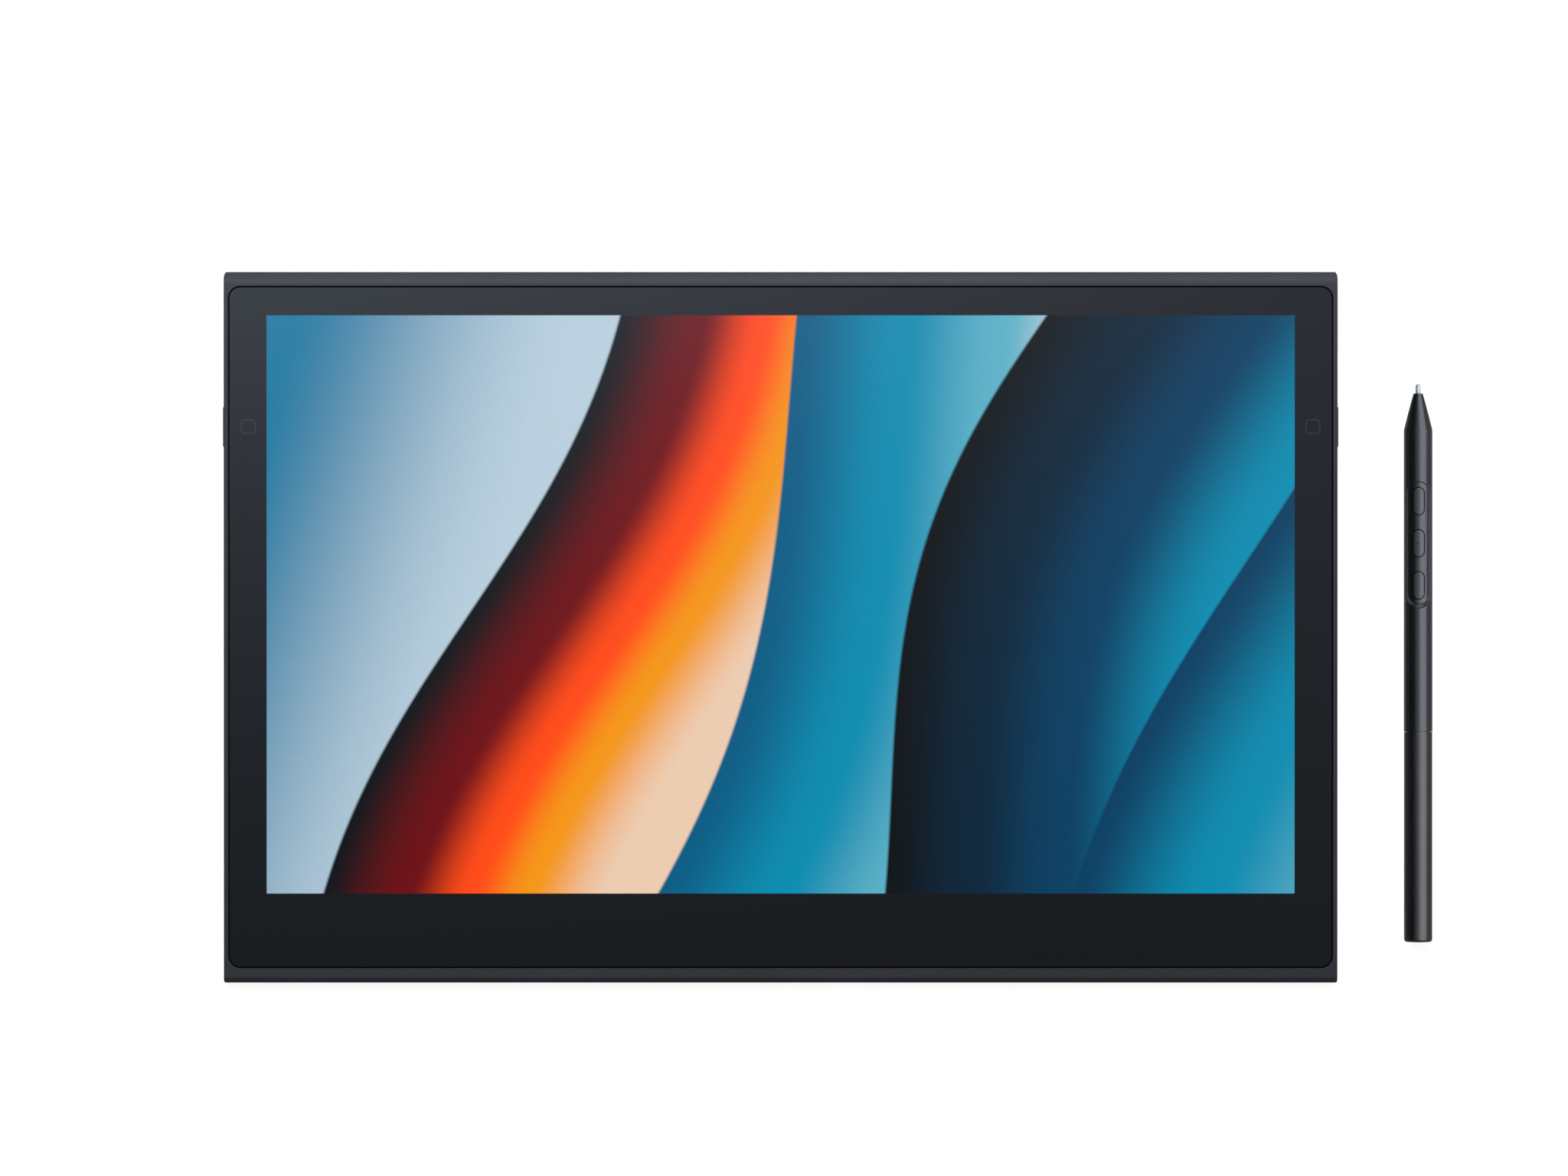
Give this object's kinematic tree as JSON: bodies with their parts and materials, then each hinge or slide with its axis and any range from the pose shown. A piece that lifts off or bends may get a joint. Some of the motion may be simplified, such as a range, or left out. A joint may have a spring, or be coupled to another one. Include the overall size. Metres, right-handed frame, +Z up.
{
  "type": "pen display tablet",
  "caption": "Slim flat pen display with a wide bezel, side keys and a socket in each side, lying on rubber feet beside its three-button pen.",
  "frame": {"origin": "centre of the whole set's box in plan, on the surface that the feet stand on", "axes": "+X to the right as the user sits, from the tablet towards its pen; +Y away from the user, towards the thick far edge; +Z up"},
  "size_m": [0.3466, 0.2037, 0.0086],
  "materials": {
    "case_metal": "matte",
    "key_metal": "satin",
    "cover_glass": "satin",
    "display": "gloss",
    "adhesive": "matte",
    "clear_bond": "gloss",
    "cast_frame": "matte",
    "shield_metal": "satin",
    "shield_foil": "satin",
    "graphite": "matte",
    "green_board": "satin",
    "black_board": "satin",
    "sensor_board": "satin",
    "flex_film": "satin",
    "chip": "matte",
    "connector": "satin",
    "switch": "satin",
    "thermal_pad": "matte",
    "screw": "satin",
    "light_pipe": "gloss",
    "tongue": "satin",
    "foot_rubber": "matte",
    "pen_shell": "matte",
    "pen_button": "satin",
    "nib": "satin",
    "pen_inner": "matte",
    "ferrite": "matte",
    "copper": "satin"
  },
  "bodies": {
    "tablet": {"board_chips": "chip", "board_connectors": "connector", "board_screws": "screw", "cover_glass": "cover_glass", "cover_screws": "screw", "digitizer_board": "sensor_board", "digitizer_flex": "flex_film", "display_flex": "flex_film", "display_panel": "display", "far_feet": "foot_rubber", "glass_adhesive": "adhesive", "heat_spreader": "graphite", "main_board": "green_board", "mid_frame": "cast_frame", "near_feet": "foot_rubber", "optical_bond": "clear_bond", "panel_driver_board": "green_board", "panel_film": "flex_film", "power_light_pipe": "light_pipe", "rear_cover": "case_metal", "shield_can": "shield_metal", "shield_plate": "shield_foil", "side_switches": "switch", "thermal_pad": "thermal_pad", "touch_key_pads": "flex_film", "usb_port_left": "shield_metal", "usb_port_right": "shield_metal", "usb_tongues": "tongue"},
    "side_key_left": {"side_key_left": "key_metal"},
    "side_key_right": {"side_key_right": "key_metal"},
    "power_button": {"power_button": "key_metal"},
    "nib": {"pen_nib": "nib", "nib_holder": "pen_inner"},
    "front_button": {"pen_button_front": "pen_button"},
    "middle_button": {"pen_button_middle": "pen_button"},
    "rear_button": {"pen_button_rear": "pen_button"},
    "rear_barrel": {"pen_rear_barrel": "pen_shell"},
    "pen": {"pen_nose_cone": "pen_shell", "ferrite_core": "ferrite", "pen_coil": "copper", "pressure_sensor": "chip", "pen_chassis": "pen_inner", "pen_board": "black_board", "button_switches": "switch", "pen_front_barrel": "pen_shell", "button_panel": "pen_shell", "pen_coupling": "pen_inner", "nib_store": "pen_inner", "spare_nibs": "nib"}
  },
  "joints": [
    {"name": "side_key_left_press", "type": "slide", "parent": "tablet", "child": "side_key_left", "axis": [1, 0, 0], "range_m": [0, 0.0002], "stiffness_N_per_m": 1500},
    {"name": "side_key_right_press", "type": "slide", "parent": "tablet", "child": "side_key_right", "axis": [-1, 0, 0], "range_m": [0, 0.0002], "stiffness_N_per_m": 1500},
    {"name": "power_button_press", "type": "slide", "parent": "tablet", "child": "power_button", "axis": [-1, 0, 0], "range_m": [0, 0.0002], "stiffness_N_per_m": 1500},
    {"name": "pen_lift", "type": "slide", "parent": "tablet", "child": "pen", "axis": [0, 0, 1], "range_m": [0, 0.12]},
    {"name": "nib_press", "type": "slide", "parent": "pen", "child": "nib", "axis": [0, -1, 0], "range_m": [0, 0.0003], "stiffness_N_per_m": 1500},
    {"name": "front_button_press", "type": "slide", "parent": "pen", "child": "front_button", "axis": [0, 0, -1], "range_m": [0, 0.0002], "stiffness_N_per_m": 1500},
    {"name": "middle_button_press", "type": "slide", "parent": "pen", "child": "middle_button", "axis": [0, 0, -1], "range_m": [0, 0.0002], "stiffness_N_per_m": 1500},
    {"name": "rear_button_press", "type": "slide", "parent": "pen", "child": "rear_button", "axis": [0, 0, -1], "range_m": [0, 0.0002], "stiffness_N_per_m": 1500},
    {"name": "rear_barrel_pull", "type": "slide", "parent": "pen", "child": "rear_barrel", "axis": [0, -1, 0], "range_m": [0, 0.034]}
  ]
}
